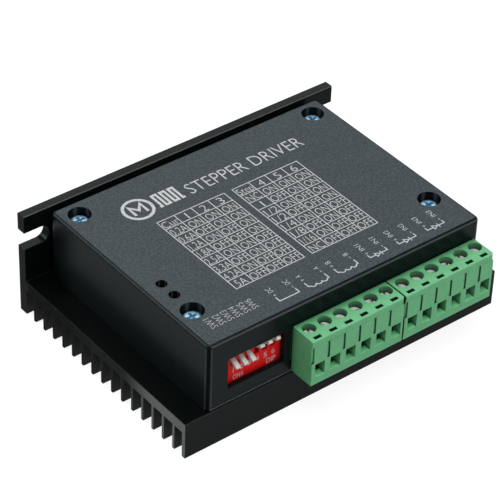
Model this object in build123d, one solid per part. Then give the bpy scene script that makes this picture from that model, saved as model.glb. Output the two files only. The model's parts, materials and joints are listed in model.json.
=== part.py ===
from build123d import *
import math
import os

# Stepper driver module: a finned aluminium heat sink with a mounting flange, a moulded cover over a
# circuit board, and two six-way plug-in terminal blocks. All sizes are in millimetres.
# X runs along the fins, -Y is the wiring side, +Y is the flange, and Z = 0 is the fin tips' plane.

# Heat sink: one extrusion, cut to length
LENGTH = 104.5
SINK_FRONT_Y = -32.9
SINK_BACK_Y = 40.6
PLATE_TOP_Z = 11.2
PLATE_THICKNESS = 3.2
FRONT_WALL_THICKNESS = 1.3
FIN_COUNT = 15
FIN_THICKNESS = 0.9
FIN_PITCH = 4.415
FLANGE_THICKNESS = 2.9
FLANGE_HEIGHT = 32.5
SINK_EDGE = 0.3
NOTCH_RADIUS = 2.65
NOTCH_DEPTH = 7.9
NOTCH_Z = 24.5

# Moulded cover
COVER_LENGTH = 90.0
COVER_FRONT_Y = -32.3
COVER_BACK_Y = 36.0
COVER_TOP_Z = 32.25
COVER_WALL = 1.5
COVER_ROOF = 2.0
COVER_CORNER_RADIUS = 1.5
COVER_TOP_RADIUS = 1.0
OPENING_MARGIN = 0.3

# Cover screws: M3 pan heads, recessed in the cover's four columns
SCREW_X = 39.4
SCREW_FRONT_Y = -18.25
SCREW_BACK_Y = 30.6
COLUMN_RADIUS = 4.2
RECESS_RADIUS = 3.2
RECESS_DEPTH = 4.1
SCREW_RADIUS = 1.5
SCREW_HEAD_RADIUS = 2.75
SCREW_HEAD_HEIGHT = 2.2
SCREW_HOLE_RADIUS = 1.7
THREAD_CLEARANCE = 0.02
CROSS_WIDTH = 0.75
CROSS_LENGTH = 3.0
CROSS_DEPTH = 1.2

# Circuit board, held between the spacers and the cover's columns
BOARD_HALF_LENGTH = 43.0
BOARD_FRONT_Y = -30.5
BOARD_BACK_Y = 34.2
BOARD_THICKNESS = 1.6
SPACER_HEIGHT = 1.7
SPACER_RADIUS = 3.0
LEG_OVERHANG = 1.1

# Plug-in terminal blocks: pitch is the trade's 5.08 mm
POLE_PITCH = 5.08
POLES = 6
FIRST_POLE_X = -15.51
BLOCK_GAP = 0.48
PLUG_LEFT_MARGIN = 2.86
PLUG_WIDTH = 30.5
PLUG_FRONT_Y = -40.6
PLUG_BACK_Y = -32.5
PLUG_BOTTOM_Z = 11.86
PLUG_TOP_Z = 26.25
PLUG_EDGE = 0.12
KEY_CHAMFER = 0.6
NOSE_TIP_Y = -25.6
NOSE_BOTTOM_Z = 15.55
NOSE_TOP_Z = 24.55
NOSE_INSET = 0.95
HEADER_CLEARANCE = 0.15
HEADER_WALL = 0.9
HEADER_FRONT_Y = -31.9

# Inside one pole of a plug
TERMINAL_Y = -35.4
DRIVER_HOLE_RADIUS = 1.9
TERMINAL_HEAD_RADIUS = 1.75
TERMINAL_HEAD_TOP_Z = 24.45
TERMINAL_HEAD_HEIGHT = 1.35
TERMINAL_SHANK_RADIUS = 1.2
TERMINAL_TIP_Z = 18.3
TERMINAL_SLOT_WIDTH = 0.7
TERMINAL_SLOT_DEPTH = 0.7
SHOULDER_THICKNESS = 0.5
CAGE_HALF_WIDTH = 2.0
CAGE_SIDE = 0.8
CAGE_FRONT_Y = -38.3
CAGE_BACK_Y = -33.1
CAGE_BOTTOM_Z = 12.75
CAGE_FLOOR = 0.6
CAGE_TOP_Z = 19.2
CAGE_ROOF = 0.8
POCKET_CLEARANCE = 0.15
BAR_BOTTOM_Z = 17.5
BAR_THICKNESS = 0.6
BAR_HALF_WIDTH = 1.1
WIRE_ENTRY_WIDTH = 3.2
WIRE_ENTRY_HEIGHT = 4.2
WIRE_ENTRY_Z = 16.45
WIRE_ENTRY_SHIFT = -0.15
WIRE_ENTRY_DRAFT = 0.05
STEP_Z = 19.1
STEP_DEPTH = 0.45
BAND_BOTTOM_Z = 24.2
BAND_TOP_Z = 26.13
BAND_LEAN = 0.2
PANEL_WIDTH = 4.33
PANEL_BEVEL_HEIGHT = 0.4
FOOT_TOP_Z = 13.5
FOOT_DEPTH = 0.12
TEST_WINDOW_WIDTH = 2.35
TEST_WINDOW_LENGTH = 1.1
TEST_WINDOW_DEPTH = 2.5
TEST_WINDOW_Y = -39.3
TEST_WINDOW_SHIFT = -0.4

# Pins of the board headers and the forks that grip them
PIN_SIZE = 1.0
PIN_Z = 18.9
PIN_TIP_Y = -30.6
PIN_LEG_Y = -23.4
PIN_CLEARANCE = 0.02
FORK_LEAF = 0.35
FORK_HALF_WIDTH = 0.8
FORK_BACK_Y = -31.4

# Piano-type switch block: pitch is the trade's 2.54 mm
LEVER_PITCH = 2.54
LEVERS = 6
FIRST_LEVER_X = -36.0
LEVERS_DOWN = 3
LEVER_ANGLE = 25.0
LEVER_LENGTH = 4.1
LEVER_WIDTH = 1.3
LEVER_THICKNESS = 0.8
LEVER_BARREL_RADIUS = 0.7
LEVER_CLEARANCE = 0.08
LEVER_PIVOT_Y = -29.4
LEVER_PIVOT_Z = 23.45
LEVER_SLOT_BOTTOM_Z = 21.3
LEVER_SLOT_TOP_Z = 24.6
SWITCH_FACE_Y = -30.7
SWITCH_BACK_Y = -23.0
SWITCH_TOP_Z = 24.9
SWITCH_HALF_LENGTH = 8.9
SWITCH_WINDOW_BOTTOM_Z = 15.75
SWITCH_WINDOW_TOP_Z = 25.35
SWITCH_WINDOW_MARGIN = 0.1
SWITCH_PIN_ROWS_Y = (-29.6, -24.5)

# Indicator lamps, 3 mm
LAMP_X = -39.3
LAMP_YS = (-5.3, -10.7)
LAMP_RADIUS = 1.5
LAMP_TOP_Z = 30.1
LAMP_HOLE_RADIUS = 1.55

# Power chip, lying on the plate in a window of the board
CHIP_HALF_LENGTH = 14.0
CHIP_FRONT_Y = 8.0
CHIP_BACK_Y = 25.0
CHIP_THICKNESS = 4.0
CHIP_LEADS = 25
CHIP_LEAD_PITCH = 1.0
CHIP_SCREW_X = 11.5
CHIP_SCREW_Y = 16.5
PAD_THICKNESS = 0.3

HALF = LENGTH / 2
PLATE_BOTTOM_Z = PLATE_TOP_Z - PLATE_THICKNESS
BOARD_BOTTOM_Z = PLATE_TOP_Z + SPACER_HEIGHT
BOARD_TOP_Z = BOARD_BOTTOM_Z + BOARD_THICKNESS
SCREW_PLACES = [(x, y) for y in (SCREW_FRONT_Y, SCREW_BACK_Y) for x in (-SCREW_X, SCREW_X)]
BLOCK_SHIFTS = (0.0, POLES * POLE_PITCH + BLOCK_GAP)
SIDES = ("left", "right")
TOL = 0.01


def block(x0, x1, y0, y1, z0, z1):
    """A box between two corners."""
    return Pos((x0 + x1) / 2, (y0 + y1) / 2, (z0 + z1) / 2) * Box(x1 - x0, y1 - y0, z1 - z0)


def post(x, y, z0, z1, radius):
    """An upright cylinder."""
    return Pos(x, y, (z0 + z1) / 2) * Cylinder(radius, z1 - z0)


def rod(x0, x1, y, z, radius):
    """A cylinder along X."""
    return Pos((x0 + x1) / 2, y, z) * Rot(0, 90, 0) * Cylinder(radius, x1 - x0)


def prism(x0, x1, *outline):
    """A bar along X whose section is an outline of (y, z) points."""
    return extrude(Plane.YZ.offset(x0) * Polygon(*outline, align=None), x1 - x0, dir=(1, 0, 0))


def pole_x(shift, number):
    """The centre of a plug's pole, counted from 0."""
    return FIRST_POLE_X + shift + number * POLE_PITCH


def lever_x(number):
    """The centre of a switch lever, counted from 0."""
    return FIRST_LEVER_X + number * LEVER_PITCH


def save(name, shape):
    """Write one named piece, or a group of separate solids."""
    solids = shape if isinstance(shape, list) else shape.solids()
    export_step(Compound(children=list(solids)) if len(solids) > 1 else solids[0], f"parts/{name}.step")


def is_plate_front(edge):
    """True for the front top edge of the heat sink's plate."""
    centre = edge.center()
    return abs(centre.Y - SINK_FRONT_Y) < TOL and abs(centre.Z - PLATE_TOP_Z) < TOL


def heat_sink():
    body = block(-HALF, HALF, SINK_FRONT_Y, SINK_BACK_Y, PLATE_BOTTOM_Z, PLATE_TOP_Z)
    body += block(-HALF, HALF, SINK_FRONT_Y, SINK_FRONT_Y + FRONT_WALL_THICKNESS, 0, PLATE_TOP_Z)
    body += block(-HALF, HALF, SINK_BACK_Y - FLANGE_THICKNESS, SINK_BACK_Y, 0, FLANGE_HEIGHT)
    long_edges = body.edges().filter_by(Axis.X)
    body = fillet(long_edges.group_by(Axis.Z)[-1] + long_edges.filter_by(is_plate_front), SINK_EDGE)
    for number in range(1, FIN_COUNT + 1):
        y = SINK_FRONT_Y + number * FIN_PITCH
        body += block(-HALF, HALF, y, y + FIN_THICKNESS, 0, PLATE_BOTTOM_Z + TOL)
    flange_mid_y = SINK_BACK_Y - FLANGE_THICKNESS / 2
    for side in (-1, 1):
        centre_x = side * (HALF - NOTCH_DEPTH + NOTCH_RADIUS)
        through = Pos(centre_x, flange_mid_y, NOTCH_Z) * Rot(90, 0, 0)
        body -= through * Cylinder(NOTCH_RADIUS, 2 * FLANGE_THICKNESS)
        mouth_x = side * (HALF - NOTCH_DEPTH / 2 + NOTCH_RADIUS / 2 + 1)
        mouth_length = NOTCH_DEPTH - NOTCH_RADIUS + 2
        mouth = Box(mouth_length, 2 * FLANGE_THICKNESS, 2 * NOTCH_RADIUS)
        body -= Pos(mouth_x, flange_mid_y, NOTCH_Z) * mouth
    for x, y in SCREW_PLACES:
        body -= post(x, y, PLATE_BOTTOM_Z - 1, PLATE_TOP_Z + 1, SCREW_RADIUS + THREAD_CLEARANCE)
    for side in (-1, 1):
        tapped = post(side * CHIP_SCREW_X, CHIP_SCREW_Y, PLATE_BOTTOM_Z - 1, PLATE_TOP_Z + 1,
                      SCREW_RADIUS + THREAD_CLEARANCE)
        body -= tapped
    return body


def cover():
    half = COVER_LENGTH / 2
    outer = block(-half, half, COVER_FRONT_Y, COVER_BACK_Y, PLATE_TOP_Z, COVER_TOP_Z)
    outer = fillet(outer.edges().filter_by(Axis.Z), COVER_CORNER_RADIUS)
    outer = fillet(outer.edges().group_by(Axis.Z)[-1], COVER_TOP_RADIUS)
    inner = block(-half + COVER_WALL, half - COVER_WALL, COVER_FRONT_Y + COVER_WALL,
                  COVER_BACK_Y - COVER_WALL, PLATE_TOP_Z - 1, COVER_TOP_Z - COVER_ROOF)
    shell = outer - inner
    for x, y in SCREW_PLACES:
        shell += post(x, y, BOARD_TOP_Z + 0.05, COVER_TOP_Z - COVER_ROOF + TOL, COLUMN_RADIUS) & outer
    for x, y in SCREW_PLACES:
        shell -= post(x, y, COVER_TOP_Z - RECESS_DEPTH, COVER_TOP_Z + 1, RECESS_RADIUS)
        shell -= post(x, y, PLATE_TOP_Z, COVER_TOP_Z, SCREW_HOLE_RADIUS)
    for y in LAMP_YS:
        shell -= post(LAMP_X, y, COVER_TOP_Z - COVER_ROOF - 1, COVER_TOP_Z + 1, LAMP_HOLE_RADIUS)
    shell -= switch_window() + header_opening()
    return shell


def switch_window():
    centre = FIRST_LEVER_X + (LEVERS - 1) * LEVER_PITCH / 2
    reach = SWITCH_HALF_LENGTH + SWITCH_WINDOW_MARGIN
    return block(centre - reach, centre + reach, COVER_FRONT_Y - 1, COVER_FRONT_Y + COVER_WALL + TOL,
                 SWITCH_WINDOW_BOTTOM_Z, SWITCH_WINDOW_TOP_Z)


def header_span(shift):
    """The two ends of a board header along X."""
    start = FIRST_POLE_X + shift - PLUG_LEFT_MARGIN
    inset = NOSE_INSET - HEADER_CLEARANCE - HEADER_WALL
    return start + inset, start + PLUG_WIDTH - inset


def header_opening():
    x0 = header_span(BLOCK_SHIFTS[0])[0]
    x1 = header_span(BLOCK_SHIFTS[-1])[1]
    return block(x0 - OPENING_MARGIN, x1 + OPENING_MARGIN / 2, COVER_FRONT_Y - 1,
                 COVER_FRONT_Y + COVER_WALL + TOL, BOARD_TOP_Z - OPENING_MARGIN,
                 NOSE_TOP_Z + HEADER_CLEARANCE + HEADER_WALL + OPENING_MARGIN)


def pan_head_screw(x, y, head_bottom_z, tip_z):
    """An M3 screw with a domed head and a cross recess."""
    top_z = head_bottom_z + SCREW_HEAD_HEIGHT
    head = post(x, y, head_bottom_z, top_z, SCREW_HEAD_RADIUS)
    head = fillet(head.edges().group_by(Axis.Z)[-1], SCREW_HEAD_HEIGHT * 0.45)
    for length, width in ((CROSS_LENGTH, CROSS_WIDTH), (CROSS_WIDTH, CROSS_LENGTH)):
        head -= Pos(x, y, top_z) * Box(length, width, 2 * CROSS_DEPTH)
    return head + post(x, y, tip_z, head_bottom_z + TOL, SCREW_RADIUS)


def cover_screws():
    seat_z = COVER_TOP_Z - RECESS_DEPTH
    return [pan_head_screw(x, y, seat_z, PLATE_BOTTOM_Z + 0.2) for x, y in SCREW_PLACES]


def board_spacers():
    ring = []
    for x, y in SCREW_PLACES:
        outside = post(x, y, PLATE_TOP_Z, BOARD_BOTTOM_Z, SPACER_RADIUS)
        ring.append(outside - post(x, y, PLATE_TOP_Z - 1, BOARD_BOTTOM_Z + 1, SCREW_HOLE_RADIUS))
    return ring


def leg_places():
    """Every wire leg that goes through the board: x, y and the hole's radius."""
    places = []
    for shift in BLOCK_SHIFTS:
        places += [(pole_x(shift, n), PIN_LEG_Y, 0.8) for n in range(POLES)]
    for y in SWITCH_PIN_ROWS_Y:
        places += [(lever_x(n), y, 0.5) for n in range(LEVERS)]
    for y in LAMP_YS:
        places += [(LAMP_X + side * 1.27, y, 0.5) for side in (-1, 1)]
    return places


def circuit_board():
    board = block(-BOARD_HALF_LENGTH, BOARD_HALF_LENGTH, BOARD_FRONT_Y, BOARD_BACK_Y,
                  BOARD_BOTTOM_Z, BOARD_TOP_Z)
    holes = [post(x, y, BOARD_BOTTOM_Z - 1, BOARD_TOP_Z + 1, r) for x, y, r in leg_places()]
    holes += [post(x, y, BOARD_BOTTOM_Z - 1, BOARD_TOP_Z + 1, SCREW_HOLE_RADIUS) for x, y in SCREW_PLACES]
    window = block(-CHIP_HALF_LENGTH - 1, CHIP_HALF_LENGTH + 1, CHIP_FRONT_Y - 0.6, CHIP_BACK_Y + 1,
                   BOARD_BOTTOM_Z - 1, BOARD_TOP_Z + 1)
    for hole in holes + [window]:
        board -= hole
    return board


def driver_chip():
    """The power chip's moulded case, with a notch for a screw at each end."""
    bottom_z = PLATE_TOP_Z + PAD_THICKNESS
    case = block(-CHIP_HALF_LENGTH, CHIP_HALF_LENGTH, CHIP_FRONT_Y, CHIP_BACK_Y,
                 bottom_z, bottom_z + CHIP_THICKNESS)
    for side in (-1, 1):
        case -= post(side * CHIP_SCREW_X, CHIP_SCREW_Y, bottom_z - 1, bottom_z + 6, SCREW_HOLE_RADIUS)
    return case


def thermal_pad():
    pad = block(-CHIP_HALF_LENGTH, CHIP_HALF_LENGTH, CHIP_FRONT_Y, CHIP_BACK_Y,
                PLATE_TOP_Z, PLATE_TOP_Z + PAD_THICKNESS)
    for side in (-1, 1):
        pad -= post(side * CHIP_SCREW_X, CHIP_SCREW_Y, PLATE_TOP_Z - 1, PLATE_TOP_Z + 1, SCREW_HOLE_RADIUS)
    return pad


def chip_screws():
    seat_z = PLATE_TOP_Z + PAD_THICKNESS + CHIP_THICKNESS
    return [pan_head_screw(side * CHIP_SCREW_X, CHIP_SCREW_Y, seat_z, PLATE_BOTTOM_Z + 0.2)
            for side in (-1, 1)]


def driver_chip_leads():
    """Flat leads from the chip's front edge onto the board."""
    first = -(CHIP_LEADS - 1) / 2 * CHIP_LEAD_PITCH
    leads = []
    for number in range(CHIP_LEADS):
        x = first + number * CHIP_LEAD_PITCH
        reach = 3.0 if number % 2 else 5.0
        leads.append(block(x - 0.25, x + 0.25, CHIP_FRONT_Y - reach, CHIP_FRONT_Y,
                           BOARD_TOP_Z + TOL, BOARD_TOP_Z + 0.4))
    return leads


def bulk_capacitors():
    """Two electrolytic cans with the groove that crimps their rubber bung."""
    cans = []
    for x, y in ((28.5, 10.0), (28.5, 22.0)):
        can = post(x, y, BOARD_TOP_Z, BOARD_TOP_Z + 13.0, 5.0)
        can = fillet(can.edges().group_by(Axis.Z)[-1], 0.6)
        groove = post(x, y, BOARD_TOP_Z + 2.0, BOARD_TOP_Z + 2.8, 6.0)
        cans.append(can - (groove - post(x, y, BOARD_TOP_Z, BOARD_TOP_Z + 4, 4.6)))
    return cans


def optocouplers():
    """Three eight-leg couplers behind the control inputs."""
    return [block(x - 3.2, x + 3.2, -16.5, -7.0, BOARD_TOP_Z + 0.2, BOARD_TOP_Z + 3.6)
            for x in (12.0, 21.0, 30.0)]


def voltage_regulator():
    body = block(-30.0, -20.0, 20.0, 29.0, BOARD_TOP_Z, BOARD_TOP_Z + 4.4)
    return body - block(-27.0, -23.0, 26.5, 30.0, BOARD_TOP_Z + 1.4, BOARD_TOP_Z + 5.0)


def sense_resistors():
    return [block(x - 3.2, x + 3.2, -2.5, 0.8, BOARD_TOP_Z, BOARD_TOP_Z + 0.9)
            for x in (-12.0, -4.0, 4.0, 12.0)]


def logic_chip():
    return block(-29.0, -25.0, -4.0, 4.8, BOARD_TOP_Z + 0.1, BOARD_TOP_Z + 1.6)


def chip_resistors():
    row = [block(x - 0.6, x + 0.6, -14.0, -12.0, BOARD_TOP_Z, BOARD_TOP_Z + 0.5)
           for x in (-30.0, -27.5, -25.0, -22.5, -20.0, -17.5)]
    back = [block(x - 0.6, x + 0.6, 12.0, 14.0, BOARD_TOP_Z, BOARD_TOP_Z + 0.5)
            for x in (-30.0, -27.5, -25.0, -22.5)]
    return row + back


def ceramic_capacitors():
    return [block(x - 0.8, x + 0.8, y - 1.25, y + 1.25, BOARD_TOP_Z, BOARD_TOP_Z + 1.2)
            for x, y in ((-18.0, 0.0), (18.5, 0.0), (-18.0, 14.0), (19.0, 14.0), (19.0, 20.0), (38.0, 0.0))]


def lamp(y):
    """A domed 3 mm lamp with its flange."""
    body = post(LAMP_X, y, LAMP_TOP_Z - 4.9, LAMP_TOP_Z - LAMP_RADIUS, LAMP_RADIUS)
    body += Pos(LAMP_X, y, LAMP_TOP_Z - LAMP_RADIUS) * Sphere(LAMP_RADIUS)
    return body + post(LAMP_X, y, LAMP_TOP_Z - 5.4, LAMP_TOP_Z - 4.6, LAMP_RADIUS + 0.4)


def lamp_legs():
    return [block(LAMP_X + side * 1.27 - 0.25, LAMP_X + side * 1.27 + 0.25, y - 0.25, y + 0.25,
                  BOARD_BOTTOM_Z - LEG_OVERHANG, LAMP_TOP_Z - 5.4)
            for y in LAMP_YS for side in (-1, 1)]


def header(shift):
    """A board header: a shroud that is open at the front, with a hole for each pin."""
    x0, x1 = header_span(shift)
    top_z = NOSE_TOP_Z + HEADER_CLEARANCE + HEADER_WALL
    back_y = NOSE_TIP_Y + HEADER_CLEARANCE + HEADER_WALL
    body = block(x0, x1, HEADER_FRONT_Y, back_y, BOARD_TOP_Z, top_z)
    body -= block(x0 + HEADER_WALL, x1 - HEADER_WALL, HEADER_FRONT_Y - 1, back_y - HEADER_WALL,
                  NOSE_BOTTOM_Z - HEADER_CLEARANCE, top_z - HEADER_WALL)
    half = PIN_SIZE / 2 + PIN_CLEARANCE
    for number in range(POLES):
        x = pole_x(shift, number)
        body -= block(x - half, x + half, back_y - HEADER_WALL - 1, back_y + 1, PIN_Z - half, PIN_Z + half)
    return body


def header_pins(shift):
    """Square pins that run back from the header and turn down through the board."""
    half = PIN_SIZE / 2
    pins = []
    for number in range(POLES):
        x = pole_x(shift, number)
        level = block(x - half, x + half, PIN_TIP_Y, PIN_LEG_Y + half, PIN_Z - half, PIN_Z + half)
        level = chamfer(level.faces().sort_by(Axis.Y)[0].edges(), 0.25)
        leg = block(x - half, x + half, PIN_LEG_Y - half, PIN_LEG_Y + half,
                    BOARD_BOTTOM_Z - LEG_OVERHANG, PIN_Z + half)
        pins.append(level + leg)
    return pins


def plug_housing(shift):
    """One plug's moulding: the screw side in front of the cover and the nose inside the header."""
    x0 = FIRST_POLE_X + shift - PLUG_LEFT_MARGIN
    x1 = x0 + PLUG_WIDTH
    body = block(x0, x1, PLUG_FRONT_Y, PLUG_BACK_Y, PLUG_BOTTOM_Z, PLUG_TOP_Z)
    body = chamfer(body.edges().filter_by(Axis.Z) + body.edges().filter_by(Axis.X), PLUG_EDGE)
    body -= front_step(x0, x1)
    body -= block(x0 - 1, x1 + 1, PLUG_FRONT_Y - 1, PLUG_FRONT_Y + FOOT_DEPTH, PLUG_BOTTOM_Z - 1, FOOT_TOP_Z)
    key_side = KEY_CHAMFER * math.sqrt(2)
    body -= Pos(x1, PLUG_FRONT_Y, STEP_Z + 10) * Rot(0, 0, 45) * Box(key_side, key_side, 20)
    body += block(x0 + NOSE_INSET, x1 - NOSE_INSET, PLUG_BACK_Y - TOL, NOSE_TIP_Y, NOSE_BOTTOM_Z, NOSE_TOP_Z)
    for number in range(POLES):
        body += front_panel(pole_x(shift, number))
    for number in range(POLES):
        for cut in pole_cuts(pole_x(shift, number)):
            body -= cut
    return body


def front_step(x0, x1):
    """The front face's set-back upper half, with the band above it that leans out to the top edge."""
    step_y = PLUG_FRONT_Y + STEP_DEPTH
    return prism(x0 - 1, x1 + 1, (PLUG_FRONT_Y - 1, STEP_Z), (step_y, STEP_Z), (step_y, BAND_BOTTOM_Z),
                 (PLUG_FRONT_Y + BAND_LEAN, BAND_BOTTOM_Z), (PLUG_FRONT_Y, BAND_TOP_Z),
                 (PLUG_FRONT_Y - 1, BAND_TOP_Z))


def front_panel(x):
    """The raised panel over each wire entry, with its top edge sloped."""
    back_y = PLUG_FRONT_Y + STEP_DEPTH + TOL
    top_z = BAND_BOTTOM_Z + TOL
    return prism(x - PANEL_WIDTH / 2, x + PANEL_WIDTH / 2, (back_y, STEP_Z - TOL),
                 (PLUG_FRONT_Y, STEP_Z - TOL), (PLUG_FRONT_Y, top_z - PANEL_BEVEL_HEIGHT),
                 (PLUG_FRONT_Y + BAND_LEAN, top_z), (back_y, top_z))


def pole_cuts(x):
    """All that is hollow in one pole of a plug."""
    half_pocket = CAGE_HALF_WIDTH + POCKET_CLEARANCE / 2
    pocket_front_y = CAGE_FRONT_Y - POCKET_CLEARANCE
    pocket_back_y = CAGE_BACK_Y + POCKET_CLEARANCE
    shoulder_top_z = TERMINAL_HEAD_TOP_Z - TERMINAL_HEAD_HEIGHT
    pocket_top_z = shoulder_top_z - SHOULDER_THICKNESS
    pocket = block(x - half_pocket, x + half_pocket, pocket_front_y, pocket_back_y,
                   CAGE_BOTTOM_Z - POCKET_CLEARANCE, pocket_top_z)
    shank_hole = post(x, TERMINAL_Y, pocket_top_z - 1, shoulder_top_z + 1, TERMINAL_SHANK_RADIUS + 0.1)
    driver_hole = post(x, TERMINAL_Y, shoulder_top_z, PLUG_TOP_Z + 1, DRIVER_HOLE_RADIUS)
    bar_slot = block(x - FORK_HALF_WIDTH - 0.1, x + FORK_HALF_WIDTH + 0.1, pocket_back_y - 1, NOSE_TIP_Y + 1,
                     BAR_BOTTOM_Z - 0.1, PIN_Z + PIN_SIZE / 2 + FORK_LEAF + 0.15)
    return [pocket, shank_hole, driver_hole, bar_slot, wire_entry(x, pocket_front_y), test_window(x)]


def wire_entry(x, pocket_front_y):
    """The way in for a wire, with a little mould draft from the front face to the clamp."""
    centre_x = x + WIRE_ENTRY_SHIFT
    mouth = Plane((centre_x, PLUG_FRONT_Y - TOL, WIRE_ENTRY_Z), x_dir=(1, 0, 0), z_dir=(0, -1, 0))
    throat = Plane((centre_x, pocket_front_y + TOL, WIRE_ENTRY_Z), x_dir=(1, 0, 0), z_dir=(0, -1, 0))
    wide = mouth * Rectangle(WIRE_ENTRY_WIDTH, WIRE_ENTRY_HEIGHT)
    narrow = throat * Rectangle(WIRE_ENTRY_WIDTH - 2 * WIRE_ENTRY_DRAFT,
                                WIRE_ENTRY_HEIGHT - 2 * WIRE_ENTRY_DRAFT)
    return loft([wide, narrow])


def test_window(x):
    left = x + TEST_WINDOW_SHIFT - TEST_WINDOW_WIDTH / 2
    front = TEST_WINDOW_Y - TEST_WINDOW_LENGTH / 2
    return block(left, left + TEST_WINDOW_WIDTH, front, front + TEST_WINDOW_LENGTH,
                 PLUG_TOP_Z - TEST_WINDOW_DEPTH, PLUG_TOP_Z + 1)


def plug_contacts(shift):
    """The bar that each wire is clamped to, and the fork that grips the header's pin."""
    grip = PIN_SIZE / 2 + PIN_CLEARANCE
    bar_top_z = BAR_BOTTOM_Z + BAR_THICKNESS
    lower_leaf_top_z = PIN_Z - grip
    upper_leaf_top_z = PIN_Z + grip + FORK_LEAF
    tip_y = NOSE_TIP_Y - 0.6
    contacts = []
    for number in range(POLES):
        x = pole_x(shift, number)
        bar = block(x - BAR_HALF_WIDTH, x + BAR_HALF_WIDTH, CAGE_FRONT_Y, CAGE_BACK_Y,
                    BAR_BOTTOM_Z, bar_top_z)
        bar += block(x - FORK_HALF_WIDTH, x + FORK_HALF_WIDTH, TERMINAL_Y, tip_y, BAR_BOTTOM_Z, bar_top_z)
        bar += block(x - FORK_HALF_WIDTH, x + FORK_HALF_WIDTH, FORK_BACK_Y, tip_y,
                     bar_top_z - TOL, lower_leaf_top_z)
        bar += block(x - FORK_HALF_WIDTH, x + FORK_HALF_WIDTH, FORK_BACK_Y, FORK_BACK_Y + 0.5,
                     bar_top_z - TOL, upper_leaf_top_z)
        bar += block(x - FORK_HALF_WIDTH, x + FORK_HALF_WIDTH, FORK_BACK_Y, tip_y,
                     PIN_Z + grip, upper_leaf_top_z)
        contacts.append(bar)
    return contacts


def terminal_screw(x, number):
    """A slotted clamp screw. Each stands at its own angle, as a person leaves them."""
    head_bottom_z = TERMINAL_HEAD_TOP_Z - TERMINAL_HEAD_HEIGHT
    head = post(x, TERMINAL_Y, head_bottom_z, TERMINAL_HEAD_TOP_Z, TERMINAL_HEAD_RADIUS)
    head = chamfer(head.edges().group_by(Axis.Z)[-1], 0.2)
    slot = Box(3 * TERMINAL_HEAD_RADIUS, TERMINAL_SLOT_WIDTH, 2 * TERMINAL_SLOT_DEPTH)
    head -= Pos(x, TERMINAL_Y, TERMINAL_HEAD_TOP_Z) * Rot(0, 0, 37 * number + 20) * slot
    return head + post(x, TERMINAL_Y, TERMINAL_TIP_Z, head_bottom_z + TOL, TERMINAL_SHANK_RADIUS)


def wire_clamp(x):
    """The square cage that the screw draws up to clamp a wire against the bar."""
    cage = block(x - CAGE_HALF_WIDTH, x + CAGE_HALF_WIDTH, CAGE_FRONT_Y, CAGE_BACK_Y,
                 CAGE_BOTTOM_Z, CAGE_TOP_Z)
    inside = CAGE_HALF_WIDTH - CAGE_SIDE
    cage -= block(x - inside, x + inside, CAGE_FRONT_Y - 1, CAGE_BACK_Y + 1, CAGE_BOTTOM_Z + CAGE_FLOOR,
                  CAGE_TOP_Z - CAGE_ROOF)
    cage -= post(x, TERMINAL_Y, CAGE_TOP_Z - CAGE_ROOF - 1, CAGE_TOP_Z + 1, TERMINAL_SHANK_RADIUS + 0.05)
    return cage


def switch_body():
    """The red switch block, with a slot and a barrel seat for each lever."""
    x0 = lever_x((LEVERS - 1) / 2) - SWITCH_HALF_LENGTH
    body = block(x0, x0 + 2 * SWITCH_HALF_LENGTH, SWITCH_FACE_Y, SWITCH_BACK_Y, BOARD_TOP_Z, SWITCH_TOP_Z)
    half = LEVER_WIDTH / 2 + LEVER_CLEARANCE
    for number in range(LEVERS):
        x = lever_x(number)
        body -= block(x - half, x + half, SWITCH_FACE_Y - 1, LEVER_PIVOT_Y, LEVER_SLOT_BOTTOM_Z,
                      LEVER_SLOT_TOP_Z)
        body -= rod(x - half, x + half, LEVER_PIVOT_Y, LEVER_PIVOT_Z, LEVER_BARREL_RADIUS + LEVER_CLEARANCE)
    return body


def switch_pins():
    return [block(lever_x(n) - 0.25, lever_x(n) + 0.25, y - 0.25, y + 0.25,
                  BOARD_BOTTOM_Z - LEG_OVERHANG, BOARD_TOP_Z)
            for y in SWITCH_PIN_ROWS_Y for n in range(LEVERS)]


def switch_lever(number):
    """A white lever on its barrel; the first three stand down and the others up."""
    x = lever_x(number)
    angle = LEVER_ANGLE if number < LEVERS_DOWN else -LEVER_ANGLE
    start = LEVER_BARREL_RADIUS / 2
    arm = block(-LEVER_WIDTH / 2, LEVER_WIDTH / 2, -LEVER_LENGTH, -start,
                -LEVER_THICKNESS / 2, LEVER_THICKNESS / 2)
    arm = fillet(arm.faces().sort_by(Axis.Y)[0].edges().filter_by(Axis.X), 0.25)
    barrel = rod(-LEVER_WIDTH / 2, LEVER_WIDTH / 2, 0, 0, LEVER_BARREL_RADIUS)
    return Pos(x, LEVER_PIVOT_Y, LEVER_PIVOT_Z) * Rot(angle, 0, 0) * (arm + barrel)


def main():
    os.makedirs("parts", exist_ok=True)
    for piece in (heat_sink, cover, cover_screws, board_spacers, circuit_board, driver_chip,
                  driver_chip_leads, thermal_pad, chip_screws, bulk_capacitors, optocouplers,
                  voltage_regulator, sense_resistors, logic_chip, chip_resistors, ceramic_capacitors,
                  lamp_legs, switch_body, switch_pins):
        save(piece.__name__, piece())
    for name, y in zip(("power_lamp", "alarm_lamp"), LAMP_YS):
        save(name, lamp(y))
    for number in range(LEVERS):
        save(f"switch_lever_{number + 1}", switch_lever(number))
    for index, (side, shift) in enumerate(zip(SIDES, BLOCK_SHIFTS)):
        save(f"header_{side}", header(shift))
        save(f"header_pins_{side}", header_pins(shift))
        save(f"plug_housing_{side}", plug_housing(shift))
        save(f"plug_contacts_{side}", plug_contacts(shift))
        for number in range(POLES):
            label = index * POLES + number + 1
            x = pole_x(shift, number)
            save(f"terminal_screw_{label:02d}", terminal_screw(x, label))
            save(f"wire_clamp_{label:02d}", wire_clamp(x))


main()
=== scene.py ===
"""Looks of the stepper driver module: materials, printed markings, studio light and camera.

Lengths are written in millimetres and turned into metres where a mesh, a light or a camera is made.
"""

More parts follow.
